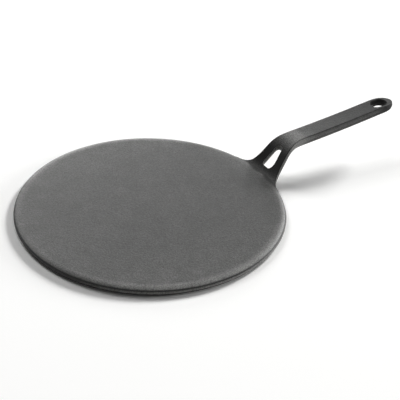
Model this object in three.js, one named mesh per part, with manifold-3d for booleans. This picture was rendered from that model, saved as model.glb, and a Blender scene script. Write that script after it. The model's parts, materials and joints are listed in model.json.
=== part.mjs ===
// A cast iron tawa: a flat griddle plate and its handle, poured as one casting.
// The plate lies flat on the hob. The handle leaves its rim along +X, climbs as a fork
// with a teardrop opening between two legs, bends, and runs out as a flat grip to a hanging eye.
// The casting is divided at flat planes into the sections that a founder would name.
// Millimetres, +Z up, origin at the centre of the plate's underside.

import * as THREE from 'three';
import { mergeVertices } from 'three/addons/utils/BufferGeometryUtils.js';
import Module from 'manifold-3d';

// Plate
const plateDiameter = 280;
const plateThickness = 7;
const shoulderWidth = 7.2;      // band inside the rim that falls away from the flat top
const rimEdgeHeight = 5.5;      // where the shoulder ends and the rim's flank begins
const heelInset = 1.8;          // how far the underside's flat stays inside the rim

// Handle in side view: a chain of arcs and straights along its top face
const rootInset = 4.5;          // the root's arc starts this far inside the rim
const rootRadius = 13;
const neckAngle = 52.6;
const neckRun = 21.4;
const bendRadius = 33.5;
const gripAngle = 4;
const gripSweepRadius = 2200;   // the grip curves up very slightly as far as the eye
const fallRadius = 160;         // from there its top falls away to the tip
const rootClearance = 0.5;      // the root's underside stays this far above the hob
const neckThickness = 5.6;
const gripThickness = 8.8;
const tipThickness = 7.8;

// Handle in plan, on its top face
const handleLength = 177.7;     // from the rim to the tip
const gripWidth = 21;
const endLength = 18;           // the tip is half an ellipse of this length
const taperLength = 38.2;       // from the rim to where the neck's taper ends
const taperAngle = 15.5;
const rootWidth = 76;           // straight across the root, where it leaves the rim's edge
const rootFade = 1.2;           // beyond that its flank sinks this deep into the rim
const rootFlareRadius = 27;
const taperFlareRadius = 50;
const flankBulge = 0.9;         // the parting line stands this far outside the top edge

// Teardrop opening between the fork's legs, at its narrowest, half way down
const dropDistance = 6;         // from the rim to its wide end
const dropLength = 16.8;
const dropStartWidth = 16.4;
const dropEndWidth = 7.4;
const dropLeftRadius = 1.6;     // its base has one tight corner, at the left leg
const dropRightRadius = 4.6;
const dropEndRadius = 3;
const dropUpperDraft = 6;
const dropLowerDraft = 30;

// Hanging hole, at its narrowest, half way down
const eyeLength = 18;
const eyeWidth = 11.2;
const eyeTipDistance = 19;      // from the hole's middle to the handle's tip
const eyeUpperDraft = 24;
const eyeLowerDraft = 14;

// Sections of the casting
const legMargin = 4;            // the legs end this far past the teardrop
const eyeMargin = 3;            // the eye's section starts this far before its dish

// Helpers: how far a cut runs past what it cuts, how deep the root reaches into the plate,
// and how close two points must be to count as one.
const overrun = 4;
const rootDepth = 18;
const mergeDistance = 0.0005;

// Counts
const plateSegments = 160;
const shoulderSteps = 5;
const rootSteps = 10;
const bendSteps = 14;
const sweepSteps = 10;
const fallSteps = 8;
const cornerSteps = 8;
const endSteps = 12;

const ironColour = 0x4a4a49;
const ironRoughness = 0.55;
const ironMetalness = 0.6;

const wasm = await Module();
wasm.setup();

const radians = THREE.MathUtils.degToRad;
const plateRadius = plateDiameter / 2;
const edgeRadius = plateRadius - flankBulge;
const gripHalfWidth = gripWidth / 2;
const partingHeight = (rimEdgeHeight + rootClearance) / 2;
const handleReach = plateRadius + handleLength;
const taperEnd = plateRadius + taperLength;
const dropStart = plateRadius + dropDistance;
const dropEnd = dropStart + dropLength;
const eyeMiddle = handleReach - eyeTipDistance;
const dishReach = gripThickness / 2 * Math.tan(radians(eyeUpperDraft));
const fallStart = eyeMiddle - eyeLength / 2 - dishReach;
const neckSine = Math.sin(radians(neckAngle));
const neckStart = plateRadius - rootInset + rootRadius * neckSine;
const bendStart = neckStart + neckRun * Math.cos(radians(neckAngle));
const bendEnd = bendStart + bendRadius * (neckSine - Math.sin(radians(gripAngle)));

// Turns a closed geometry into a solid that can be joined and cut.
function solidOf(geometry) {
  const bare = geometry.clone();
  bare.deleteAttribute('normal');
  bare.deleteAttribute('uv');
  const merged = mergeVertices(bare, mergeDistance);
  const corners = merged.index.array;
  const kept = [];
  for (let i = 0; i < corners.length; i += 3) {
    const [a, b, c] = corners.slice(i, i + 3);
    if (a !== b && b !== c && c !== a) kept.push(a, b, c);
  }
  const vertProperties = Float32Array.from(merged.attributes.position.array);
  const triVerts = Uint32Array.from(kept);
  return new wasm.Manifold(new wasm.Mesh({ numProp: 3, vertProperties, triVerts }));
}

function geometryOf(solid) {
  const mesh = solid.getMesh();
  const geometry = new THREE.BufferGeometry();
  geometry.setAttribute('position', new THREE.BufferAttribute(mesh.vertProperties, 3));
  geometry.setIndex(new THREE.BufferAttribute(mesh.triVerts, 1));
  return geometry;
}

// Revolves an outline of radius and height round the plate's axis.
function turned(outline) {
  const lathe = new THREE.LatheGeometry(outline, plateSegments);
  return solidOf(lathe.rotateX(Math.PI / 2));
}

// Rounds the corners of a run of points: each corner is [x, y, radius].
function rounded(corners, closed) {
  const points = [];
  const count = corners.length;
  corners.forEach(([x, y, radius], i) => {
    const corner = new THREE.Vector2(x, y);
    const atEnd = !closed && (i === 0 || i === count - 1);
    if (atEnd || radius === 0) {
      points.push(corner);
      return;
    }
    const before = new THREE.Vector2(...corners[(i + count - 1) % count]).sub(corner).normalize();
    const after = new THREE.Vector2(...corners[(i + 1) % count]).sub(corner).normalize();
    const halfAngle = Math.acos(before.dot(after)) / 2;
    const toCentre = before.clone().add(after).normalize();
    const centre = corner.clone().addScaledVector(toCentre, radius / Math.sin(halfAngle));
    const touch = radius / Math.tan(halfAngle);
    const first = corner.clone().addScaledVector(before, touch).sub(centre);
    const last = corner.clone().addScaledVector(after, touch).sub(centre);
    const turn = Math.atan2(first.cross(last), first.dot(last));
    for (let k = 0; k <= cornerSteps; k += 1) {
      const spoke = first.clone().rotateAround(new THREE.Vector2(), turn * k / cornerSteps);
      points.push(spoke.add(centre));
    }
  });
  return points.filter((point, i) => {
    const before = i > 0 || closed ? points.at(i - 1) : null;
    return !before || point.distanceTo(before) > mergeDistance;
  });
}

// The unit vector square to a run of points at one of them, on its left.
function leftOf(before, after) {
  const along = after.clone().sub(before).normalize();
  return new THREE.Vector2(-along.y, along.x);
}

// The handle's top line in side view, as points with the heading that the line has there.
function topLine() {
  const line = [];
  const at = new THREE.Vector2(plateRadius - rootDepth, rimEdgeHeight);
  let heading = 0;
  const mark = () => line.push({ point: at.clone(), heading });
  const run = (length) => {
    at.x += length * Math.cos(heading);
    at.y += length * Math.sin(heading);
    mark();
  };
  const bend = (radius, turn, steps) => {
    const step = turn / steps;
    const chord = 2 * radius * Math.sin(Math.abs(step) / 2);
    for (let k = 0; k < steps; k += 1) {
      heading += step / 2;
      at.x += chord * Math.cos(heading);
      at.y += chord * Math.sin(heading);
      heading += step / 2;
      mark();
    }
  };
  mark();
  run(rootDepth - rootInset);
  bend(rootRadius, radians(neckAngle), rootSteps);
  run(neckRun);
  bend(bendRadius, radians(gripAngle - neckAngle), bendSteps);
  const sweepLength = fallStart - at.x;
  bend(gripSweepRadius, sweepLength / gripSweepRadius, sweepSteps);
  const fallLength = handleReach + overrun - at.x;
  bend(fallRadius, -fallLength / fallRadius, fallSteps);
  return line;
}

// The underside follows the top line, thickens through the bend, and stays clear of the hob.
function underLine(line) {
  return line.map(({ point, heading }) => {
    const pastBend = THREE.MathUtils.smoothstep(point.x, bendStart, bendEnd);
    const atTip = THREE.MathUtils.smoothstep(point.x, fallStart, handleReach);
    const grip = THREE.MathUtils.lerp(gripThickness, tipThickness, atTip);
    const thickness = THREE.MathUtils.lerp(neckThickness, grip, pastBend);
    const x = point.x + thickness * Math.sin(heading);
    const y = point.y - thickness * Math.cos(heading);
    return new THREE.Vector2(x, Math.max(y, rootClearance));
  });
}

function heightOn(points, distance) {
  const next = Math.max(1, points.findIndex((point) => point.x >= distance));
  const [a, b] = [points[next - 1], points[next]];
  return THREE.MathUtils.mapLinear(distance, a.x, b.x, a.y, b.y);
}

const topMarks = topLine();
const topPoints = topMarks.map(({ point }) => point);
const underPoints = underLine(topMarks);
const reachLimit = underPoints[underPoints.length - 1].x;

// Middle of the handle's thickness, and half that thickness, measured upright at a place in plan.
function levelAt(place) {
  const distance = THREE.MathUtils.clamp(place.length(), topPoints[0].x, handleReach + flankBulge);
  const top = heightOn(topPoints, distance);
  const under = heightOn(underPoints, distance);
  return { middle: (top + under) / 2, half: (top - under) / 2 };
}

// The plate: flat top, falling shoulder, rim flank, heel and flat underside.
function plateSolid() {
  const flatRadius = plateRadius - shoulderWidth;
  const outline = [new THREE.Vector2(0, 0)];
  outline.push(new THREE.Vector2(plateRadius - heelInset, 0));
  outline.push(new THREE.Vector2(plateRadius, partingHeight));
  for (let k = 0; k <= shoulderSteps; k += 1) {
    const inward = k / shoulderSteps;
    const radius = THREE.MathUtils.lerp(edgeRadius, flatRadius, inward);
    const fall = (plateThickness - rimEdgeHeight) * (1 - inward) ** 2;
    outline.push(new THREE.Vector2(radius, plateThickness - fall));
  }
  outline.push(new THREE.Vector2(0, plateThickness));
  return turned(outline);
}

// The plan of the handle's top edge on its +Y side, from the rim to the tip.
function planEdge() {
  const fadeShare = 1.3;
  const angle = Math.asin(rootWidth / 2 / edgeRadius);
  const slope = Math.tan(radians(taperAngle));
  const rise = gripHalfWidth + taperEnd * slope;
  const flareX = (edgeRadius - rise * Math.sin(angle)) / (Math.cos(angle) - slope * Math.sin(angle));
  const onRim = (radius, turn) => [radius * Math.cos(turn), radius * Math.sin(turn), 0];
  const edge = rounded([
    onRim(edgeRadius - rootFade, angle * fadeShare),
    onRim(edgeRadius, angle),
    [flareX, rise - flareX * slope, rootFlareRadius],
    [taperEnd, gripHalfWidth, taperFlareRadius],
    [handleReach - endLength, gripHalfWidth, 0],
  ], false);
  for (let k = 1; k <= endSteps; k += 1) {
    const turn = Math.PI / 2 * k / endSteps;
    const x = handleReach - endLength * (1 - Math.sin(turn));
    edge.push(new THREE.Vector2(x, gripHalfWidth * Math.cos(turn)));
  }
  return edge;
}

// The handle's flanks: each half of the mould draws its side inwards from the parting line.
function flankSolid() {
  const edge = planEdge();
  const pastShare = 1.3;
  const positions = [];
  edge.forEach((point, i) => {
    const before = edge[Math.max(i - 1, 0)];
    const mirrored = new THREE.Vector2(before.x, -before.y);
    const after = i < edge.length - 1 ? edge[i + 1] : mirrored;
    const out = leftOf(before, after);
    const parting = point.clone().addScaledVector(out, flankBulge);
    const far = parting.clone().addScaledVector(out, -flankBulge * pastShare);
    const { middle, half } = levelAt(parting);
    const reach = half * pastShare;
    positions.push(far.x, far.y, middle + reach);
    positions.push(parting.x, parting.y, middle);
    positions.push(far.x, far.y, middle - reach);
    positions.push(far.x, -far.y, middle - reach);
    positions.push(parting.x, -parting.y, middle);
    positions.push(far.x, -far.y, middle + reach);
  });
  const ring = 6;
  const index = [];
  for (let i = 0; i < edge.length - 1; i += 1) {
    for (let k = 0; k < ring; k += 1) {
      const a = i * ring + k;
      const b = i * ring + (k + 1) % ring;
      index.push(a, b + ring, b, a, a + ring, b + ring);
    }
  }
  for (let k = 1; k < ring - 1; k += 1) index.push(0, k, k + 1);
  const geometry = new THREE.BufferGeometry();
  geometry.setAttribute('position', new THREE.Float32BufferAttribute(positions, 3));
  geometry.setIndex(index);
  return solidOf(geometry);
}

// The handle as one solid: its side profile turned round the plate's axis, kept within its flanks.
function handleSolid() {
  const profile = [...underPoints, ...topPoints.slice().reverse()];
  profile.push(profile[0].clone());
  return turned(profile).intersect(flankSolid());
}

// What an opening takes away: narrowest half way down, wider towards both faces.
function openingSolid(loop, upperDraft, lowerDraft) {
  const count = loop.length;
  const rings = [[], [], []];
  loop.forEach((point, i) => {
    const out = leftOf(loop[(i + count - 1) % count], loop[(i + 1) % count]).negate();
    const { middle, half } = levelAt(point);
    const reach = half + overrun;
    const down = point.clone().addScaledVector(out, reach * Math.tan(radians(lowerDraft)));
    const up = point.clone().addScaledVector(out, reach * Math.tan(radians(upperDraft)));
    rings[0].push(new THREE.Vector3(down.x, down.y, middle - reach));
    rings[1].push(new THREE.Vector3(point.x, point.y, middle));
    rings[2].push(new THREE.Vector3(up.x, up.y, middle + reach));
  });
  const points = rings.flat();
  const index = [];
  for (let level = 0; level < rings.length - 1; level += 1) {
    for (let i = 0; i < count; i += 1) {
      const a = level * count + i;
      const b = level * count + (i + 1) % count;
      index.push(a, b, b + count, a, b + count, a + count);
    }
  }
  const last = (rings.length - 1) * count;
  THREE.ShapeUtils.triangulateShape(loop, []).forEach(([a, b, c]) => {
    index.push(a, c, b, last + a, last + b, last + c);
  });
  const geometry = new THREE.BufferGeometry().setFromPoints(points);
  geometry.setIndex(index);
  return solidOf(geometry);
}

function teardrop() {
  const loop = rounded([
    [dropStart, -dropStartWidth / 2, dropRightRadius],
    [dropEnd, -dropEndWidth / 2, dropEndRadius],
    [dropEnd, dropEndWidth / 2, dropEndRadius],
    [dropStart, dropStartWidth / 2, dropLeftRadius],
  ], true);
  return openingSolid(loop, dropUpperDraft, dropLowerDraft);
}

function hangingHole() {
  const ends = [eyeMiddle - eyeLength / 2, eyeMiddle + eyeLength / 2];
  const side = eyeWidth / 2;
  const loop = rounded([
    [ends[0], -side, side],
    [ends[1], -side, side],
    [ends[1], side, side],
    [ends[0], side, side],
  ], true);
  return openingSolid(loop, eyeUpperDraft, eyeLowerDraft);
}

const casting = plateSolid().add(handleSolid()).subtract(teardrop()).subtract(hangingHole());

// Keeps what lies between two planes across the handle, on one side of its middle or on both.
function between(startX, endX, startY, endY) {
  const height = topPoints[topPoints.length - 1].y + overrun;
  const box = new THREE.BoxGeometry(endX - startX, endY - startY, 2 * height);
  box.translate((startX + endX) / 2, (startY + endY) / 2, 0);
  return casting.intersect(solidOf(box));
}

const beyond = plateRadius + overrun;
const legsEnd = dropEnd + legMargin;
const eyeStart = fallStart - eyeMargin;
const sections = {
  griddle_plate: between(-beyond, plateRadius, -beyond, beyond),
  fork_leg_left: between(plateRadius, legsEnd, 0, beyond),
  fork_leg_right: between(plateRadius, legsEnd, -beyond, 0),
  handle_grip: between(legsEnd, eyeStart, -beyond, beyond),
  hanging_eye: between(eyeStart, reachLimit, -beyond, beyond),
};

const tawa = new THREE.Group();
Object.entries(sections).forEach(([name, solid]) => {
  const iron = new THREE.MeshStandardMaterial({
    color: ironColour,
    roughness: ironRoughness,
    metalness: ironMetalness,
  });
  const mesh = new THREE.Mesh(geometryOf(solid), iron);
  mesh.name = name;
  tawa.add(mesh);
});

export default tawa;
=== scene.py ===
import json
import math

import bmesh
import bpy
import numpy as np
from mathutils import Matrix, Vector
from mathutils.geometry import delaunay_2d_cdt


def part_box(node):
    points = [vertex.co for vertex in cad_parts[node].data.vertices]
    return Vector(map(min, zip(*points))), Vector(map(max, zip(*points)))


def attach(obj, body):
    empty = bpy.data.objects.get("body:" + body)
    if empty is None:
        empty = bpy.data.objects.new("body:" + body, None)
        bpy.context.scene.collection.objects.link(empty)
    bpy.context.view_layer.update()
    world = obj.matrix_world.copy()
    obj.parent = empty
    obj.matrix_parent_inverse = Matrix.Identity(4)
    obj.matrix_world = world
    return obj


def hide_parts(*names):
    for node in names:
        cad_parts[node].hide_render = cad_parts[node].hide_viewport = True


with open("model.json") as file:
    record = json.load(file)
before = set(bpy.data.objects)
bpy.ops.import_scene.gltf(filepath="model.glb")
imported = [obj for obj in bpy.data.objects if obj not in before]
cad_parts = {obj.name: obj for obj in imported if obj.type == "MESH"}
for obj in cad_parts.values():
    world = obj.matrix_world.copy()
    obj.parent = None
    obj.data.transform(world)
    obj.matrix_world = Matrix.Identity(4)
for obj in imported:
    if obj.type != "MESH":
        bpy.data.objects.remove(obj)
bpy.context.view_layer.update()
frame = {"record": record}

# The griddle plate: a flat disc of grey iron, cast in sand, with a narrow falling shoulder,
# a rim that both halves of the mould draw off, and a flat underside with a bevelled heel.
# Its section is the same all the way round, so Geometry Nodes turn it about the middle.
MM = 0.001
plate_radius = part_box("griddle_plate")[1].y / MM
mounts = {mount["name"]: mount for mount in frame["record"]["mounts"]}
plate_thickness = mounts["cooking_face"]["pos_m"][2] / MM
shoulder_width = 7.2
rim_edge_height = 5.5
flank_inset = 0.9
heel_inset = 1.8
parting_height = 3.0
fin_height = 0.15
fin_half_width = 0.35
edge_rounding = 0.8
plate_sides = 288
flat_rings = 12
shoulder_steps = 6
rounding_steps = 4
section_weld = 0.002    # points of the section closer than this are one point

flat_radius = plate_radius - shoulder_width
edge_radius = plate_radius - flank_inset


def add(tree, kind, inputs=(), **settings):
    """Adds a node: its settings by name, and its inputs as (socket, value or other socket)."""
    node = tree.nodes.new(kind)
    for name, value in settings.items():
        setattr(node, name, value)
    for socket, value in inputs:
        if isinstance(value, bpy.types.NodeSocket):
            tree.links.new(value, node.inputs[socket])
        else:
            node.inputs[socket].default_value = value
    return node


def linear(colour):
    """An sRGB hex colour as linear red, green, blue and alpha."""
    shares = [int(colour[i:i + 2], 16) / 255 for i in (1, 3, 5)]
    return [s / 12.92 if s <= 0.04045 else ((s + 0.055) / 1.055) ** 2.4 for s in shares] + [1.0]


# Seasoned grey cast iron: the skin that the sand left, never machined, with oil baked on.
# It gives the eye a dark, nearly neutral grey with a low broad sheen, over a fine pebbled grain.
iron = bpy.data.materials.new("seasoned_sand_cast_iron")
iron.use_nodes = True
shade = iron.node_tree
shade.nodes.clear()
grain_size = 1.1        # real grain is 0.2 to 0.5 mm, drawn coarser so that it shows
pit_size = 2.2
mottle_size = 14.0
drift_size = 90.0
grain_depth = 0.17
pit_depth = 0.12
mottle_depth = 0.12
oil_black = "#0b0b0a"
bare_grey = "#8a8a88"
oil_specular = 0.19
oil_roughness = (0.38, 0.43)
speck_share = (0.4, 1.6)    # how much more or less grey shows from grain to grain
cloud_share = (0.85, 1.15)  # and from one patch of the skin to the next
noise_reach = (0.3, 0.7)    # nearly all of a noise pattern lies between these
# How much grey shows through the oil, as (millimetres, share): outwards from the plate's middle,
# growing paler towards the rim, with painted shade as a dark line along the sharp edge; then on
# the rim, whose shoulder is scoured pale, whose sharp edge carries that painted dark line, and
# whose wall is painted paler as painted light, times a share across that paints the rim paler at
# the front and back and darker at the sides, as painted light and shade. Both are multiplied by
# a share along X, paler on the -X side, with painted shade where the handle lamp's highlight
# falls on the rim, and giving way at the root. The handle has its own: a painted highlight on
# the bend, and painted shade on the neck and towards the tip.
plate_tone_and_edge_shade = [(30.0, 0.145), (100.0, 0.165), (129.0, 0.190), (138.2, 0.190), (138.8, 0.0),
                 (139.4, 0.0)]
rim_wear_and_painted_light = [(129.0, 0.0), (133.0, 0.30), (137.2, 0.66), (138.4, 0.16), (139.0, 0.0), (139.3, 0.12),
            (139.6, 0.85), (140.0, 0.95)]
painted_light_across = [(-140.0, 1.0), (-104.0, 1.0), (-80.0, 0.30), (-40.0, 0.20), (50.0, 0.20), (84.0, 0.26),
               (110.0, 0.85), (140.0, 1.0)]
plate_along_with_painted_shade = [(-140.0, 1.0), (-50.0, 0.98), (60.0, 0.90), (112.0, 0.70), (121.0, 0.98), (131.0, 0.98),
              (134.0, 0.60), (136.5, 0.20), (138.4, 0.0)]
handle_painted_light_and_shade = [(126.0, 0.0), (132.0, 0.05), (136.0, 0.14), (139.5, 0.22), (143.5, 0.10), (148.0, 0.01),
               (158.0, 0.005), (165.0, 0.24), (176.0, 1.0), (193.0, 0.07), (240.0, 0.12), (270.0, 0.0)]
soot_along = [(132.0, 0.0), (146.0, 1.0), (160.0, 1.0), (174.0, 0.0), (262.0, 0.0), (284.0, 0.5),
              (316.0, 0.9)]
soot_roughness = 0.4    # soot dulls the neck and the tip, where no hand rubs it off
ground_and_light_gain = 0.28     # the flanks are ground where the mould's halves met, so more grey shows; the same marks carry painted light and shade
place = add(shade, "ShaderNodeTexCoord").outputs["Object"]
flat = add(shade, "ShaderNodeVectorMath", [(0, place), (1, (1.0, 1.0, 0.0))], operation="MULTIPLY")
distance_out = add(shade, "ShaderNodeVectorMath", [
    (0, flat.outputs[0])], operation="LENGTH").outputs["Value"]
split = add(shade, "ShaderNodeSeparateXYZ", [(0, place)]).outputs
graded = []
for distance, stops in (
        (distance_out, plate_tone_and_edge_shade), (distance_out, rim_wear_and_painted_light), (split["Y"], painted_light_across),
        (split["X"], plate_along_with_painted_shade), (split["X"], handle_painted_light_and_shade), (split["X"], soot_along)):
    first, last = stops[0][0], stops[-1][0]
    share = add(shade, "ShaderNodeMapRange", [
        ("Value", distance), ("From Min", first * MM), ("From Max", last * MM)])
    ramp = add(shade, "ShaderNodeValToRGB", [("Fac", share.outputs[0])])
    ramp.color_ramp.interpolation = "B_SPLINE"
    for _ in stops[2:]:     # a new ramp has two stops already
        ramp.color_ramp.elements.new(0.5)
    for element, (millimetres, value) in zip(ramp.color_ramp.elements, stops):
        element.position = (millimetres - first) / (last - first)
        element.color = (value, value, value, 1.0)
    graded.append(ramp.outputs[0])
plate_and_edge_shade, rim_wear_and_light, painted_light_across_rim, plate_along_with_shade, handle_light_and_shade, soot = graded
# The shares below carry the painted light and shade set out above, along with the iron's own tone.
disc_with_painted_light = add(shade, "ShaderNodeMath", [
    (0, rim_wear_and_light), (1, painted_light_across_rim), (2, plate_and_edge_shade)], operation="MULTIPLY_ADD")
share_with_painted_light = add(shade, "ShaderNodeMath", [
    (0, disc_with_painted_light.outputs[0]), (1, plate_along_with_shade), (2, handle_light_and_shade)], operation="MULTIPLY_ADD")
# The points' marks bring the ground fin's grey, painted pale bands and painted dark lines.
ground_and_painted_light = add(shade, "ShaderNodeAttribute", attribute_name="ground_and_painted_light").outputs["Fac"]
grey_and_painted_light = add(shade, "ShaderNodeMath", [
    (0, ground_and_painted_light), (1, ground_and_light_gain), (2, share_with_painted_light.outputs[0])], operation="MULTIPLY_ADD", use_clamp=True)
grain = add(shade, "ShaderNodeTexNoise", [
    ("Vector", place), ("Scale", 1 / (grain_size * MM)), ("Detail", 2.0), ("Roughness", 0.55)])
pits = add(shade, "ShaderNodeTexVoronoi", [
    ("Vector", place), ("Scale", 1 / (pit_size * MM)), ("Smoothness", 0.6)], feature="SMOOTH_F1")
mottle = add(shade, "ShaderNodeTexNoise", [
    ("Vector", place), ("Scale", 1 / (mottle_size * MM)), ("Detail", 3.0), ("Roughness", 0.5)])
drift = add(shade, "ShaderNodeTexNoise", [
    ("Vector", place), ("Scale", 1 / (drift_size * MM)), ("Detail", 1.0)])
spread = []
for pattern, (least, most) in ((grain, speck_share), (mottle, cloud_share), (drift, oil_roughness)):
    spread.append(add(shade, "ShaderNodeMapRange", [
        ("Value", pattern.outputs[0]), ("From Min", noise_reach[0]), ("From Max", noise_reach[1]),
        ("To Min", least), ("To Max", most)]))
speck, cloud, gloss = spread
both = add(shade, "ShaderNodeMath", [(0, speck.outputs[0]), (1, cloud.outputs[0])], operation="MULTIPLY")
grey_share_with_painted_light = add(shade, "ShaderNodeMath", [(0, both.outputs[0]), (1, grey_and_painted_light.outputs[0])], operation="MULTIPLY")
# A Mix node takes its two colours at inputs 6 and 7, and gives the mixed one at output 2.
toned = add(shade, "ShaderNodeMix", [
    (0, grey_share_with_painted_light.outputs[0]), (6, linear(oil_black)), (7, linear(bare_grey))], data_type="RGBA")
dulled = add(shade, "ShaderNodeMath", [
    (0, soot), (1, soot_roughness), (2, gloss.outputs[0])], operation="MULTIPLY_ADD")
uneven = add(shade, "ShaderNodeBump", [
    ("Height", mottle.outputs[0]), ("Distance", mottle_depth * MM), ("Strength", 1.0)])
pitted = add(shade, "ShaderNodeBump", [
    ("Height", pits.outputs["Distance"]), ("Distance", pit_depth * MM), ("Strength", 1.0),
    ("Normal", uneven.outputs[0])])
grained = add(shade, "ShaderNodeBump", [
    ("Height", grain.outputs[0]), ("Distance", grain_depth * MM), ("Strength", 1.0),
    ("Normal", pitted.outputs[0])])
skin = add(shade, "ShaderNodeBsdfPrincipled", [
    ("Base Color", toned.outputs[2]), ("Roughness", dulled.outputs[0]), ("Normal", grained.outputs[0]),
    ("Metallic", 0.0), ("Specular IOR Level", oil_specular)])
add(shade, "ShaderNodeOutputMaterial", [("Surface", skin.outputs[0])])

turning = bpy.data.node_groups.new("plate_turning", "GeometryNodeTree")
turning.interface.new_socket("Plate", in_out="OUTPUT", socket_type="NodeSocketGeometry")
plate_sizes = {
    "Radius": plate_radius * MM,
    "Flat radius": flat_radius * MM,
    "Thickness": plate_thickness * MM,
    "Edge height": rim_edge_height * MM,
    "Edge inset": flank_inset * MM,
    "Heel inset": heel_inset * MM,
    "Parting height": parting_height * MM,
    "Fin height": fin_height * MM,
    "Fin half width": fin_half_width * MM,
    "Rounding": edge_rounding * MM,
    "Weld": section_weld * MM,
}
plate_counts = {
    "Sides": plate_sides,
    "Flat rings": flat_rings,
    "Shoulder steps": shoulder_steps,
    "Rounding steps": rounding_steps,
}
for name in plate_sizes:
    turning.interface.new_socket(name, in_out="INPUT", socket_type="NodeSocketFloat")
for name in plate_counts:
    turning.interface.new_socket(name, in_out="INPUT", socket_type="NodeSocketInt")
turning.interface.new_socket("Iron", in_out="INPUT", socket_type="NodeSocketMaterial")
size = add(turning, "NodeGroupInput").outputs


def worked(operation, first, second):
    """One sum on two of the plate's sizes."""
    return add(turning, "ShaderNodeMath", [(0, first), (1, second)], operation=operation).outputs[0]


def spot(radius, height):
    """A point of the section, measured from the rim, in a swept profile's own axes: Y is down."""
    inward = worked("SUBTRACT", radius, size["Radius"])
    downward = worked("MULTIPLY", height, -1.0)
    return add(turning, "ShaderNodeCombineXYZ", [("X", inward), ("Y", downward)]).outputs[0]


def straight(start, end):
    """A straight stretch of the section."""
    return add(turning, "GeometryNodeCurvePrimitiveLine", [("Start", start), ("End", end)]).outputs[0]


def curved(start, middle, end, steps):
    """A curved stretch of the section, drawn towards its middle point."""
    return add(turning, "GeometryNodeCurveQuadraticBezier", [
        ("Start", start), ("Middle", middle), ("End", end), ("Resolution", steps)]).outputs[0]


def ringed(curve):
    """A flat stretch of the section, with a point for each of the plate's rings."""
    return add(turning, "GeometryNodeResampleCurve", [
        ("Curve", curve), ("Count", size["Flat rings"])]).outputs[0]


def along(start, end, distance):
    """The point at a distance from start on the way to end."""
    way = add(turning, "ShaderNodeVectorMath", [(0, end), (1, start)], operation="SUBTRACT")
    unit = add(turning, "ShaderNodeVectorMath", [(0, way.outputs[0])], operation="NORMALIZE")
    step = add(turning, "ShaderNodeVectorMath", [
        (0, unit.outputs[0]), ("Scale", distance)], operation="SCALE")
    return add(turning, "ShaderNodeVectorMath", [
        (0, start), (1, step.outputs[0])], operation="ADD").outputs[0]


sharp_radius = worked("SUBTRACT", size["Radius"], size["Edge inset"])
soft_radius = worked("SUBTRACT", sharp_radius, size["Rounding"])
soft_reach = worked("SUBTRACT", soft_radius, size["Flat radius"])
sharp_reach = worked("SUBTRACT", sharp_radius, size["Flat radius"])
fall_share = worked("POWER", worked("DIVIDE", soft_reach, sharp_reach), 2.0)
whole_fall = worked("SUBTRACT", size["Thickness"], size["Edge height"])
soft_height = worked("SUBTRACT", size["Thickness"], worked("MULTIPLY", whole_fall, fall_share))
shoulder_middle = worked("MULTIPLY", worked("ADD", soft_radius, size["Flat radius"]), 0.5)
fin_radius = worked("SUBTRACT", size["Radius"], size["Fin height"])
heel_radius = worked("SUBTRACT", size["Radius"], size["Heel inset"])
top_flat = spot(size["Flat radius"], size["Thickness"])
shoulder_end = spot(soft_radius, soft_height)
sharp_edge = spot(sharp_radius, size["Edge height"])
fin_upper = spot(fin_radius, worked("ADD", size["Parting height"], size["Fin half width"]))
fin_peak = spot(size["Radius"], size["Parting height"])
fin_lower = spot(fin_radius, worked("SUBTRACT", size["Parting height"], size["Fin half width"]))
sharp_heel = spot(heel_radius, 0.0)
heel_end = spot(worked("SUBTRACT", heel_radius, size["Rounding"]), 0.0)
base_flat = spot(size["Flat radius"], 0.0)
flank_start = along(sharp_edge, fin_upper, size["Rounding"])
flank_end = along(sharp_heel, fin_lower, size["Rounding"])
stretches = [
    ringed(straight(spot(0.0, size["Thickness"]), top_flat)),
    curved(top_flat, spot(shoulder_middle, size["Thickness"]), shoulder_end, size["Shoulder steps"]),
    curved(shoulder_end, sharp_edge, flank_start, size["Rounding steps"]),
    straight(flank_start, fin_upper),
    straight(fin_upper, fin_peak),
    straight(fin_peak, fin_lower),
    straight(fin_lower, flank_end),
    curved(flank_end, sharp_heel, heel_end, size["Rounding steps"]),
    straight(heel_end, base_flat),
    ringed(straight(base_flat, spot(0.0, 0.0))),
]
joined = add(turning, "GeometryNodeJoinGeometry")
for stretch in stretches:
    turning.links.new(stretch, joined.inputs[0])
edges = add(turning, "GeometryNodeCurveToMesh", [("Curve", joined.outputs[0])])
one_run = add(turning, "GeometryNodeMergeByDistance", [
    ("Geometry", edges.outputs[0]), ("Distance", size["Weld"])])
section = add(turning, "GeometryNodeMeshToCurve", [("Mesh", one_run.outputs[0])])
circle = add(turning, "GeometryNodeCurvePrimitiveCircle", [
    ("Resolution", size["Sides"]), ("Radius", size["Radius"])], mode="RADIUS")
swept = add(turning, "GeometryNodeCurveToMesh", [
    ("Curve", circle.outputs[0]), ("Profile Curve", section.outputs[0])])
closed = add(turning, "GeometryNodeMergeByDistance", [
    ("Geometry", swept.outputs[0]), ("Distance", size["Weld"])])
real = add(turning, "GeometryNodeRealizeInstances", [("Geometry", closed.outputs[0])])
finished = add(turning, "GeometryNodeSetMaterial", [
    ("Geometry", real.outputs[0]), ("Material", size["Iron"])])
add(turning, "NodeGroupOutput", [(0, finished.outputs[0])])

blank = bpy.data.objects.new("plate_blank", bpy.data.meshes.new("plate_blank"))
bpy.context.scene.collection.objects.link(blank)
turner = blank.modifiers.new("Turning", "NODES")
turner.node_group = turning
plate_inputs = {**plate_sizes, **plate_counts, "Iron": iron}
for item in turning.interface.items_tree:
    if item.in_out == "INPUT":
        turner[item.identifier] = plate_inputs[item.name]
evaluated = blank.evaluated_get(bpy.context.evaluated_depsgraph_get())
turned_plate = bpy.data.meshes.new_from_object(evaluated)
blank.modifiers.remove(turner)
bpy.data.objects.remove(blank)
casting = bmesh.new()
casting.from_mesh(turned_plate)

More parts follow.
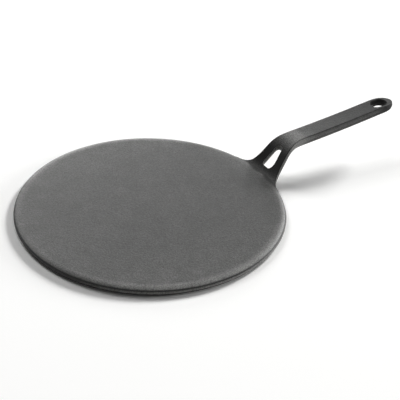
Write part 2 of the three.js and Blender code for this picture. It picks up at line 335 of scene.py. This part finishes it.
# The handle: poured with the plate, it leaves the rim as a wide root, climbs as a steep neck,
# bends, and runs out as a flat grip. All heights follow the distance from the plate's middle,
# and both flanks draw inwards from a parting line half way down.
root_inset = 4.5
root_radius = 13.0
neck_angle = math.radians(52.6)
neck_run = 21.4
bend_radius = 33.5
grip_angle = math.radians(4.0)
grip_sweep_radius = 2200.0
fall_radius = 160.0
root_clearance = 0.5
neck_thickness = 5.6
grip_thickness = 8.8
tip_thickness = 7.8
grip_half_width = 10.5
end_length = 18.0
taper_length = 38.2
taper_angle = math.radians(15.5)
root_half_width = 38.0
root_flare_radius = 27.0
taper_flare_radius = 50.0
root_blend = 1.0
crotch_blend = 1.7      # the sand leaves a soft hollow where the neck climbs off the shoulder
run_in_radius = 6.0     # the curve in which the handle's top line sinks into the plate at the rim
root_angle = math.radians(17.5)
fade_start = math.radians(17.4)         # along the rim, towards the root, the plate's heights give
fade_end = math.radians(15.9)           # way to the handle's between these two angles
underside_fade = (134.0, 139.0)         # and beneath, between these distances from the middle
skin_inset = 0.02       # keeps the finely curved skin inside the solid's flat facets

holes = {hole["name"]: hole["box_m"] for hole in frame["record"]["physics"]["openings"]}
eye_length = 18.0
eye_upper_draft = math.radians(24.0)
handle_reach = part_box("hanging_eye")[1].x / MM - flank_inset - skin_inset
eye_middle = sum(corner[0] for corner in holes["hanging_hole"]) / 2 / MM
fall_start = eye_middle - eye_length / 2 - grip_thickness / 2 * math.tan(eye_upper_draft)


def smooth_step(start, end, value):
    """Rises smoothly from 0 at start to 1 at end."""
    share = np.clip((value - start) / (end - start), 0.0, 1.0)
    return share * share * (3.0 - 2.0 * share)


def soft_max(first, second, width):
    """The higher of two heights, with their crossing eased over a width."""
    near = np.maximum(width - np.abs(first - second), 0.0) / width
    return np.maximum(first, second) + near * near * width / 4


def side_lines():
    """The handle's top and underside in side view, as finely spaced points."""
    start = plate_radius - root_inset
    neck_start = start + root_radius * math.sin(neck_angle)
    bend_start = neck_start + neck_run * math.cos(neck_angle)
    bend_end = bend_start + bend_radius * (math.sin(neck_angle) - math.sin(grip_angle))
    past_tip = 6.0
    stretches = [
        (root_radius * neck_angle, 1 / root_radius),
        (neck_run, 0.0),
        (bend_radius * (neck_angle - grip_angle), -1 / bend_radius),
        (fall_start - bend_end, 1 / grip_sweep_radius),
        (handle_reach + past_tip - fall_start, -1 / fall_radius),
    ]
    spacing = 0.05
    counts = [round(length / spacing) for length, _ in stretches]
    steps = np.repeat([length / count for (length, _), count in zip(stretches, counts)], counts)
    turns = steps * np.repeat([curvature for _, curvature in stretches], counts)
    heading = np.concatenate([[0.0], np.cumsum(turns)])
    between = heading[:-1] + turns / 2
    x = start + np.concatenate([[0.0], np.cumsum(steps * np.cos(between))])
    z = rim_edge_height - skin_inset + np.concatenate([[0.0], np.cumsum(steps * np.sin(between))])
    thinning = smooth_step(fall_start, handle_reach, x)
    grip = grip_thickness + (tip_thickness - grip_thickness) * thinning
    thickness = neck_thickness + (grip - neck_thickness) * smooth_step(bend_start, bend_end, x)
    under_x = x + thickness * np.sin(heading)
    under_z = soft_max(z - thickness * np.cos(heading), root_clearance, root_blend)
    return x, z, under_x, under_z


top_x, top_z, under_x, under_z = side_lines()


def plate_top(r):
    """The plate's top: flat, then a shoulder that falls away to the rim."""
    past = np.maximum(np.minimum(r, edge_radius) - flat_radius, 0.0) / (edge_radius - flat_radius)
    return plate_thickness - (plate_thickness - rim_edge_height) * past ** 2


def in_root(x, y):
    """How far a place belongs to the handle: 1 over its root, easing to 0 along the rim."""
    return 1.0 - smooth_step(fade_end, fade_start, np.arctan2(np.abs(y), x))


def top_at(x, y):
    """Height of the casting's top where the handle joins it."""
    r = np.hypot(x, y)
    base = plate_top(r)
    before = np.maximum(top_x[0] - r, 0.0)
    handle_top = np.interp(r, top_x, top_z) - before ** 2 / (2 * run_in_radius)
    return base + in_root(x, y) * (soft_max(base, handle_top, crotch_blend) - base)


def under_at(x, y):
    """Height of the casting's underside where the handle joins it."""
    r = np.hypot(x, y)
    return in_root(x, y) * smooth_step(*underside_fade, r) * np.interp(r, under_x, under_z)


def parting_at(x, y):
    """Height of the parting line."""
    return parting_height + in_root(x, y) * ((top_at(x, y) + under_at(x, y)) / 2 - parting_height)


def filleted(corners, spacing):
    """A run of points through corners given as (x, y, radius), with each corner rounded."""
    stops = [np.array(corners[0][:2])]
    for before, here, after in zip(corners, corners[1:], corners[2:]):
        at = np.array(here[:2])
        back = np.array(before[:2]) - at
        on = np.array(after[:2]) - at
        back = back / np.linalg.norm(back)
        on = on / np.linalg.norm(on)
        half = math.acos(back @ on) / 2
        middle = at + (back + on) / np.linalg.norm(back + on) * here[2] / math.sin(half)
        first = at + back * here[2] / math.tan(half) - middle
        last = at + on * here[2] / math.tan(half) - middle
        turn = math.atan2(first[0] * last[1] - first[1] * last[0], first @ last)
        for share in np.linspace(0.0, 1.0, max(2, round(abs(turn) * here[2] / spacing))):
            c, s = math.cos(turn * share), math.sin(turn * share)
            stops.append(middle + np.array([first[0] * c - first[1] * s, first[0] * s + first[1] * c]))
    stops.append(np.array(corners[-1][:2]))
    run = [stops[0]]
    for start, end in zip(stops, stops[1:]):
        count = max(1, round(np.linalg.norm(end - start) / spacing))
        run += [start + (end - start) * k / count for k in range(1, count + 1)]
    return run


def evenly(run, spacing_at, is_loop):
    """Points set along a run at the spacing wanted at each place, and the way out at each."""
    run = np.array(run)
    ends = (run[-2:-1], run[1:2]) if is_loop else (2 * run[:1] - run[1:2], 2 * run[-1:] - run[-2:-1])
    padded = np.vstack([ends[0], run, ends[1]])
    ways = padded[2:] - padded[:-2]
    outs = np.stack([-ways[:, 1], ways[:, 0]], axis=1) / np.linalg.norm(ways, axis=1)[:, None]
    gaps = np.linalg.norm(np.diff(run, axis=0), axis=1)
    crowding = np.concatenate([[0.0], np.cumsum(gaps / spacing_at((run[1:] + run[:-1]) / 2))])
    marks = np.linspace(0.0, crowding[-1], round(crowding[-1]) + 1)
    if is_loop:
        marks = marks[:-1]
    points = np.stack([np.interp(marks, crowding, run[:, k]) for k in (0, 1)], axis=1)
    outs = np.stack([np.interp(marks, crowding, outs[:, k]) for k in (0, 1)], axis=1)
    return points, outs / np.linalg.norm(outs, axis=1)[:, None]


def raised(plan, height):
    """Places in plan, each at its height."""
    return np.column_stack([plan, height])


def rounding(start, corner, end):
    """Rows of points that round off a corner, from start to end."""
    shares = np.linspace(0.0, 1.0, rounding_steps + 1)
    return [(1 - s) ** 2 * start + 2 * s * (1 - s) * corner + s * s * end for s in shares]


def towards(start, end, distance):
    """Points at a distance from start on the way to end."""
    way = end - start
    return start + way / np.linalg.norm(way, axis=1)[:, None] * distance


def handle_plan():
    """The handle's top edge in plan on its +Y side, from the rim to the tip."""
    spacing = 0.1
    start = math.asin(root_half_width / edge_radius)
    slope = math.tan(taper_angle)
    taper_end = plate_radius + taper_length
    rise = grip_half_width + taper_end * slope
    flare_x = (edge_radius - rise * math.sin(start)) / (math.cos(start) - slope * math.sin(start))
    sweep = np.linspace(root_angle, start, round(edge_radius * (root_angle - start) / spacing))
    run = [edge_radius * np.array([math.cos(angle), math.sin(angle)]) for angle in sweep[:-1]]
    run += filleted([
        (edge_radius * math.cos(start), edge_radius * math.sin(start)),
        (flare_x, rise - flare_x * slope, root_flare_radius),
        (taper_end, grip_half_width, taper_flare_radius),
        (handle_reach - end_length, grip_half_width),
    ], spacing)
    end_points = 400
    for turn in np.linspace(0.0, math.pi / 2, end_points)[1:]:
        x = handle_reach - end_length * (1 - math.sin(turn))
        run.append(np.array([x, grip_half_width * math.cos(turn)]))
    return run


def flank_spacing(places):
    """Close at the root, the bend and the tip, and wide along the straight grip."""
    reaches = [140.0, 150.0, 186.0, 200.0, 278.0, 298.0, 306.0, 315.0]
    spacings = [1.0, 1.2, 1.5, 3.5, 3.5, 1.6, 1.0, 0.5]
    return np.interp(places[:, 0], reaches, spacings)


edge, out = evenly(handle_plan(), flank_spacing, False)
out[0] = edge[0] / np.linalg.norm(edge[0])
out[-1] = (1.0, 0.0)
edge = np.vstack([edge, (edge * (1, -1))[-2::-1]])
out = np.vstack([out, (out * (1, -1))[-2::-1]])
bulged = edge + out * flank_inset
parting = parting_at(*bulged.T)
fin_foot = edge + out * (flank_inset - fin_height)
fin_above = raised(fin_foot, parting + fin_half_width)
fin_below = raised(fin_foot, parting - fin_half_width)
top_corner = raised(edge, top_at(*edge.T))
top_soft = edge - out * edge_rounding
under_edge = edge - out * ((heel_inset - flank_inset) * (1 - in_root(*edge.T)))[:, None]
under_corner = raised(under_edge, under_at(*under_edge.T))
under_soft = under_edge - out * edge_rounding
flank_rows = rounding(
    raised(top_soft, top_at(*top_soft.T)), top_corner, towards(top_corner, fin_above, edge_rounding))
flank_rows += [fin_above, raised(bulged, parting), fin_below]
flank_rows += rounding(
    towards(under_corner, fin_below, edge_rounding), under_corner,
    raised(under_soft, under_at(*under_soft.T)))

# The openings: a teardrop between the fork's legs, and the eye that the tawa hangs by.
# The mould's two halves meet inside them too, so each is narrowest half way down.
drop_start = 146.0
drop_end = 162.8
drop_start_half = 8.2
drop_end_half = 3.7
drop_left_radius = 1.6
drop_right_radius = 4.6
drop_end_radius = 3.0
drop_upper_draft = math.radians(6.0)
drop_lower_draft = math.radians(30.0)
eye_half_width = 5.6
eye_lower_draft = math.radians(14.0)
opening_rounding = 0.4
waist_half_width = 0.4
drop_spacing = 0.5
eye_spacing = 0.6


def met(plan, way, middle, draft, surface, sense):
    """Where a drafted wall that leaves the waist meets the casting's surface."""
    farthest = 30.0
    halvings = 50
    near = np.zeros(len(plan))
    far = np.full(len(plan), farthest)
    for _ in range(halvings):
        rise = (near + far) / 2
        at = plan + way * (rise * math.tan(draft))[:, None]
        is_short = (surface(*at.T) - middle) * sense > rise
        near = np.where(is_short, rise, near)
        far = np.where(is_short, far, rise)
    return raised(at, middle + sense * rise)


def opening_rows(corners, spacing, upper_draft, lower_draft):
    """Rows of points round an opening, from the top face through the waist to the underside."""
    fine_spacing = 0.05
    start = tuple((np.array(corners[0][:2]) + corners[-1][:2]) / 2)
    run = filleted([start, *corners, start], fine_spacing)
    plan, way = evenly(run, lambda places: np.full(len(places), spacing), True)
    way = -way
    middle = (top_at(*plan.T) + under_at(*plan.T)) / 2
    waist = raised(plan, middle)
    rows = []
    for surface, draft, sense in ((top_at, upper_draft, 1.0), (under_at, lower_draft, -1.0)):
        mouth = met(plan, way, middle, draft, surface, sense)
        lip_plan = mouth[:, :2] + way * opening_rounding
        lip = raised(lip_plan, surface(*lip_plan.T))
        lean_plan = plan + way * waist_half_width * math.tan(draft)
        lean = raised(lean_plan, middle + sense * waist_half_width)
        side = rounding(lip, mouth, towards(mouth, waist, opening_rounding)) + [lean]
        rows.append(side)
    return rows[0] + [waist] + rows[1][::-1]


drop_rows = opening_rows([
    (drop_start, -drop_start_half, drop_right_radius),
    (drop_end, -drop_end_half, drop_end_radius),
    (drop_end, drop_end_half, drop_end_radius),
    (drop_start, drop_start_half, drop_left_radius),
], drop_spacing, drop_upper_draft, drop_lower_draft)
eye_rows = opening_rows([
    (eye_middle - eye_length / 2, -eye_half_width, eye_half_width),
    (eye_middle + eye_length / 2, -eye_half_width, eye_half_width),
    (eye_middle + eye_length / 2, eye_half_width, eye_half_width),
    (eye_middle - eye_length / 2, eye_half_width, eye_half_width),
], eye_spacing, eye_upper_draft, eye_lower_draft)

# The skin between the flanks and the openings, above and below. Its points lie in rows at
# equal distances from the plate's middle, so that no facet twists in the root or the bend.
points = []
faces = []
grinding_and_painted_light = []           # for each point, how far grinding bared it and how much painted light it carries, or, below 0, how much painted shade
mark_reach_along = [185.0, 205.0, 286.0, 302.0]      # the marks count most on the neck, and not at all on the eye
mark_share_along = [1.25, 0.6, 0.6, 0.0]
row_reach = [133.0, 148.0, 160.0, 186.0, 200.0, 280.0, 292.0, 315.0]
row_spacing = [0.9, 1.0, 1.3, 1.5, 3.0, 3.0, 1.8, 1.2]      # from row to row, widest along the grip
place_reach = [140.0, 160.0, 315.0]
place_spacing = [2.0, 1.6, 1.6]                  # from point to point in a row
outline_clearance = 0.7                          # how far they keep from the outline
opening_clearance = 0.5                          # and from the openings


def lay_strip(rows, marks, is_loop):
    """Lays four-sided facets between rows of points, with each row's mark of grinding, painted light and
    painted shade.
    """
    base = len(points)
    count = len(rows[0])
    places = np.concatenate(rows)
    points.extend(places.tolist())
    mark_weight = np.interp(places[:, 0], mark_reach_along, mark_share_along)
    grinding_and_painted_light.extend((np.repeat(marks, count) * mark_weight).tolist())
    for k in range(len(rows) - 1):
        for i in range(count if is_loop else count - 1):
            a = base + k * count + i
            b = base + k * count + (i + 1) % count
            faces.append((a, b, b + count, a + count))


def gap_and_side(places, loop):
    """How far each place lies from a closed loop, and whether it lies inside it."""
    ends = np.roll(loop, -1, axis=0)
    ways = ends - loop
    reach = places[:, None, :] - loop
    share = np.clip((reach * ways).sum(-1) / (ways * ways).sum(-1), 0.0, 1.0)
    gap = np.linalg.norm(reach - share[..., None] * ways, axis=-1).min(1)
    level = places[:, 1][:, None]
    crosses = (loop[:, 1] > level) != (ends[:, 1] > level)
    rise = np.where(ways[:, 1] == 0, 1.0, ways[:, 1])
    meets = loop[:, 0] + (level - loop[:, 1]) * ways[:, 0] / rise
    return gap, (crosses & (places[:, 0][:, None] < meets)).sum(1) % 2 == 1


def lay_face(outline, openings, surface):
    """Lays small triangles over the plan inside an outline and outside its openings."""
    triangles_inside = 1
    same_place = 1e-6
    across = edge_radius * math.sin(root_angle)
    inner = []
    r = flat_radius
    while r < handle_reach:
        r += float(np.interp(r, row_reach, row_spacing))
        side = float(np.interp(r, place_reach, place_spacing))
        for y in np.arange(-across, across + side, side):
            inner.append((math.sqrt(max(r * r - y * y, 0.0)), y))
    inner = np.array(inner)
    gap, is_inside = gap_and_side(inner, outline)
    keep = is_inside & (gap > outline_clearance)
    for loop in openings:
        gap, is_inside = gap_and_side(inner, loop)
        keep &= ~is_inside & (gap > opening_clearance)
    inner = inner[keep]
    plan = np.vstack([outline, *openings, inner])
    borders = []
    first = 0
    for loop in (outline, *openings):
        count = len(loop)
        borders.append([(first + i, first + (i + 1) % count) for i in range(count)])
        first += count
    result = delaunay_2d_cdt(
        [Vector(place) for place in plan.tolist()], sum(borders[1:], []),
        [list(range(len(outline)))], triangles_inside, same_place)
    laid = np.array([tuple(place) for place in result[0]])
    middles = np.array([laid[list(face)].mean(0) for face in result[2]])
    is_metal = np.ones(len(middles), bool)
    for loop in openings:
        is_metal &= ~gap_and_side(middles, loop)[1]
    base = len(points)
    points.extend(raised(laid, surface(*laid.T)).tolist())
    grinding_and_painted_light.extend([0.0] * len(laid))
    faces.extend(tuple(base + i for i in face) for face, is_kept in zip(result[2], is_metal) if is_kept)


def rim_arc(radius):
    """The ring's points across the root, from the -Y side to the +Y side."""
    half = round(root_angle / (2 * math.pi / plate_sides))
    angles = np.arange(-half, half + 1) * 2 * math.pi / plate_sides
    return radius * np.stack([np.cos(angles), np.sin(angles)], axis=1)


# Each row's mark, from the top face down: the upper edge's rows, the fin's or the waist's three,
# and the lower edge's. Below 0 a mark is painted shade, and above 0 it is the grinding's grey and
# painted light: on the flanks, painted dark lines along the rounded edges and a painted pale band
# about the fin; in the teardrop, painted light on its walls; in the eye, painted shade on its lip.
lay_strip(flank_rows, [0.0, -0.5, -1.0, -1.0, 1.0, 2.0, 1.6, 0.8, 0.4, -0.3, -0.6, -0.6, 0.0], False)
lay_strip(drop_rows, [0.0, -0.3, -0.3, 1.0, 2.4, 3.0, 3.0, 2.2] + [0.8] * rounding_steps + [0.0], True)
lay_strip(eye_rows, [0.0, -0.3, -0.5, -0.5, -0.3, 0.2, 0.3, 0.2] + [0.0] * rounding_steps + [0.0], True)
ray = np.array([math.cos(root_angle), math.sin(root_angle)])
shoulder_radii = np.linspace(flat_radius, edge_radius - edge_rounding, shoulder_steps + 1)[1:-1]
up_shoulder = shoulder_radii[:, None] * ray
down_shoulder = (up_shoulder * (1, -1))[::-1]
arc = rim_arc(flat_radius)
lay_face(np.vstack([arc, up_shoulder, flank_rows[0][:, :2], down_shoulder]),
         [drop_rows[0][:, :2], eye_rows[0][:, :2]], top_at)
lay_face(np.vstack([arc, flank_rows[-1][:, :2]]),
         [drop_rows[-1][:, :2], eye_rows[-1][:, :2]], under_at)

# The casting made whole: the plate's ring gives way across the root to the handle's skin,
# the two are welded along their shared points, and the shading follows the larger facets.
skin_mesh = bpy.data.meshes.new("handle_skin")
skin_mesh.from_pydata([Vector(point) * MM for point in points], [], faces)
# Each skin point keeps its mark, which carries painted light and shade as well as the grinding.
skin_mesh.attributes.new("ground_and_painted_light", "FLOAT", "POINT").data.foreach_set("value", grinding_and_painted_light)
across_root = []
for face in casting.faces:
    middle = face.calc_center_median() / MM
    if math.hypot(middle.x, middle.y) > flat_radius and math.atan2(abs(middle.y), middle.x) < root_angle:
        across_root.append(face)
bmesh.ops.delete(casting, geom=across_root, context="FACES")
casting.verts.layers.float.new("ground_and_painted_light")
casting.from_mesh(skin_mesh)
weld = 0.005 * MM
bmesh.ops.remove_doubles(casting, verts=casting.verts, dist=weld)
bmesh.ops.recalc_face_normals(casting, faces=casting.faces)
casting.normal_update()
shading = casting.verts.layers.float_vector.new("shading")
for vertex in casting.verts:
    total = Vector()
    for corner in vertex.link_loops:
        total += corner.face.normal * corner.face.calc_area() * corner.calc_angle()
    vertex[shading] = total.normalized()


def part_section(name, node, cuts):
    """Parts one section from the casting: what lies in front of each cut, closed off at it."""
    part = casting.copy()
    layer = part.verts.layers.float_vector["shading"]
    for face in part.faces:
        face.smooth = True
    for place, facing in cuts:
        whole = part.verts[:] + part.edges[:] + part.faces[:]
        bmesh.ops.bisect_plane(
            part, geom=whole, dist=weld, plane_co=place, plane_no=facing, clear_inner=True)
        rims = [e for e in part.edges if e.is_boundary]
        for cap in bmesh.ops.holes_fill(part, edges=rims, sides=0)["faces"]:
            cap.smooth = False
    bmesh.ops.recalc_face_normals(part, faces=part.faces)
    part.normal_update()
    normals = []
    for face in part.faces:
        for corner in face.loops:
            normals.append(corner.vert[layer].normalized() if face.smooth else face.normal)
    part.verts.layers.float_vector.remove(layer)
    for face in part.faces:
        face.smooth = True
    mesh = bpy.data.meshes.new(name)
    part.to_mesh(mesh)
    part.free()
    mesh.materials.clear()
    mesh.materials.append(iron)
    mesh.normals_split_custom_set(normals)
    piece = bpy.data.objects.new(name, mesh)
    bpy.context.scene.collection.objects.link(piece)
    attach(piece, "root")
    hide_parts(node)


rim_cut = Vector((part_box("griddle_plate")[1].x, 0, 0))
legs_cut = Vector((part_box("fork_leg_left")[1].x, 0, 0))
eye_cut = Vector((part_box("handle_grip")[1].x, 0, 0))
outwards = Vector((1, 0, 0))
leftwards = Vector((0, 1, 0))
fork_cuts = [(rim_cut, outwards), (legs_cut, -outwards)]

part_section("cast_plate", "griddle_plate", [(rim_cut, -outwards)])
part_section("cast_left_leg", "fork_leg_left", fork_cuts + [(Vector(), leftwards)])
part_section("cast_right_leg", "fork_leg_right", fork_cuts + [(Vector(), -leftwards)])
part_section("cast_grip", "handle_grip", [(legs_cut, outwards), (eye_cut, -outwards)])
part_section("cast_eye", "hanging_eye", [(eye_cut, outwards)])

# The stage: a white paper floor, which runs out far off into a white background, in a dim room
# with soft lamps beyond the handle, to the side, overhead, low on the right and behind. Its sizes
# are in metres. The camera stands where the photograph was taken from.
pure_white = linear("#ffffff")
floor_half = 12.0
floor_gap = 0.2 * MM
paper = bpy.data.materials.new("white_paper")
paper.use_nodes = True
sheet = paper.node_tree
sheet.nodes.clear()
paper_white = Vector(linear("#f6f6f5"))
paper_glare = 1.14      # the camera sees the paper this much brighter, as in an exposure for the iron
fade_from = 0.7         # past this many metres the paper runs out into the white background
fade_to = 2.2
is_seen = add(sheet, "ShaderNodeLightPath").outputs["Is Camera Ray"]
paper_tone = add(sheet, "ShaderNodeMix", [
    (0, is_seen), (6, paper_white), (7, paper_white * paper_glare)], data_type="RGBA")
matt = add(sheet, "ShaderNodeBsdfDiffuse", [("Color", paper_tone.outputs[2])])
backdrop = add(sheet, "ShaderNodeEmission", [("Color", pure_white), ("Strength", 1.0)])
paper_place = add(sheet, "ShaderNodeTexCoord").outputs["Object"]
paper_reach = add(sheet, "ShaderNodeVectorMath", [(0, paper_place)], operation="LENGTH").outputs["Value"]
faded = add(sheet, "ShaderNodeMapRange", [
    ("Value", paper_reach), ("From Min", fade_from), ("From Max", fade_to)],
    interpolation_type="SMOOTHSTEP")
fade_seen = add(sheet, "ShaderNodeMath", [(0, faded.outputs[0]), (1, is_seen)], operation="MULTIPLY")
run_out = add(sheet, "ShaderNodeMixShader", [
    (0, fade_seen.outputs[0]), (1, matt.outputs[0]), (2, backdrop.outputs[0])])
add(sheet, "ShaderNodeOutputMaterial", [("Surface", run_out.outputs[0])])
floor_mesh = bpy.data.meshes.new("floor")
corners = [(x, y, -floor_gap) for x, y in ((-1, -1), (1, -1), (1, 1), (-1, 1))]
floor_mesh.from_pydata([(x * floor_half, y * floor_half, z) for x, y, z in corners], [], [(0, 1, 2, 3)])
floor_mesh.materials.append(paper)
floor = bpy.data.objects.new("floor", floor_mesh)
bpy.context.scene.collection.objects.link(floor)

lamp_distance = 8.0
lamps = [
    # name, degrees round from +X, degrees up, width and height in metres, share of the floor's light
    ("handle_softbox", 19.0, 24.0, 1.5, 1.6, 0.46),
    ("side_softbox", 92.0, 38.0, 3.6, 3.2, 0.27),
    ("top_softbox", 0.0, 78.0, 4.0, 4.0, 0.06),
    ("low_softbox", -16.0, 10.0, 4.0, 1.6, 0.12),
    ("back_softbox", 66.0, 14.0, 4.4, 1.4, 0.07),
]
for name, around, up, width, height, share in lamps:
    turn = math.radians(around)
    lift = math.radians(up)
    towards_lamp = Vector((
        math.cos(turn) * math.cos(lift), math.sin(turn) * math.cos(lift), math.sin(lift)))
    lamp = bpy.data.lights.new(name, "AREA")
    lamp.shape = "RECTANGLE"
    lamp.size = width
    lamp.size_y = height
    lamp.energy = share * (math.pi * lamp_distance) ** 2 / math.sin(lift)
    softbox = bpy.data.objects.new(name, lamp)
    softbox.location = towards_lamp * lamp_distance
    softbox.rotation_euler = towards_lamp.to_track_quat("Z", "Y").to_euler()
    bpy.context.scene.collection.objects.link(softbox)

room_light = 0.04       # what the room itself sheds on the object, as a share of white
room = bpy.data.worlds.new("room")
room.use_nodes = True
air = room.node_tree
air.nodes.clear()
seen = add(air, "ShaderNodeLightPath").outputs
seen_or_glossy = add(air, "ShaderNodeMath", [
    (0, seen["Is Camera Ray"]), (1, seen["Is Glossy Ray"])], operation="MAXIMUM")
shown = add(air, "ShaderNodeMath", [
    (0, seen_or_glossy.outputs[0]), (1, seen["Is Transmission Ray"])], operation="MAXIMUM")
strength = add(air, "ShaderNodeMapRange", [
    ("Value", shown.outputs[0]), ("To Min", room_light), ("To Max", 1.0)])
glow = add(air, "ShaderNodeBackground", [("Color", pure_white), ("Strength", strength.outputs[0])])
add(air, "ShaderNodeOutputWorld", [("Surface", glow.outputs[0])])
bpy.context.scene.world = room

camera_data = bpy.data.cameras.new("camera")
camera_data.lens = 90.18
camera_data.sensor_width = 36.0
camera = bpy.data.objects.new("camera", camera_data)
aim = Vector((50.69, -14.57, 5.5)) * MM
camera_distance = 1047.33 * MM
azimuth = math.radians(-33.839)
elevation = math.radians(33.688)
roll = math.radians(2.943)
back = Vector((
    math.sin(azimuth) * math.cos(elevation), -math.cos(azimuth) * math.cos(elevation), math.sin(elevation)))
camera.matrix_world = (
    Matrix.Translation(aim + back * camera_distance)
    @ back.to_track_quat("Z", "Y").to_matrix().to_4x4()
    @ Matrix.Rotation(roll, 4, "Z"))
bpy.context.scene.collection.objects.link(camera)
bpy.context.scene.camera = camera
bpy.context.scene.view_settings.view_transform = "Standard"
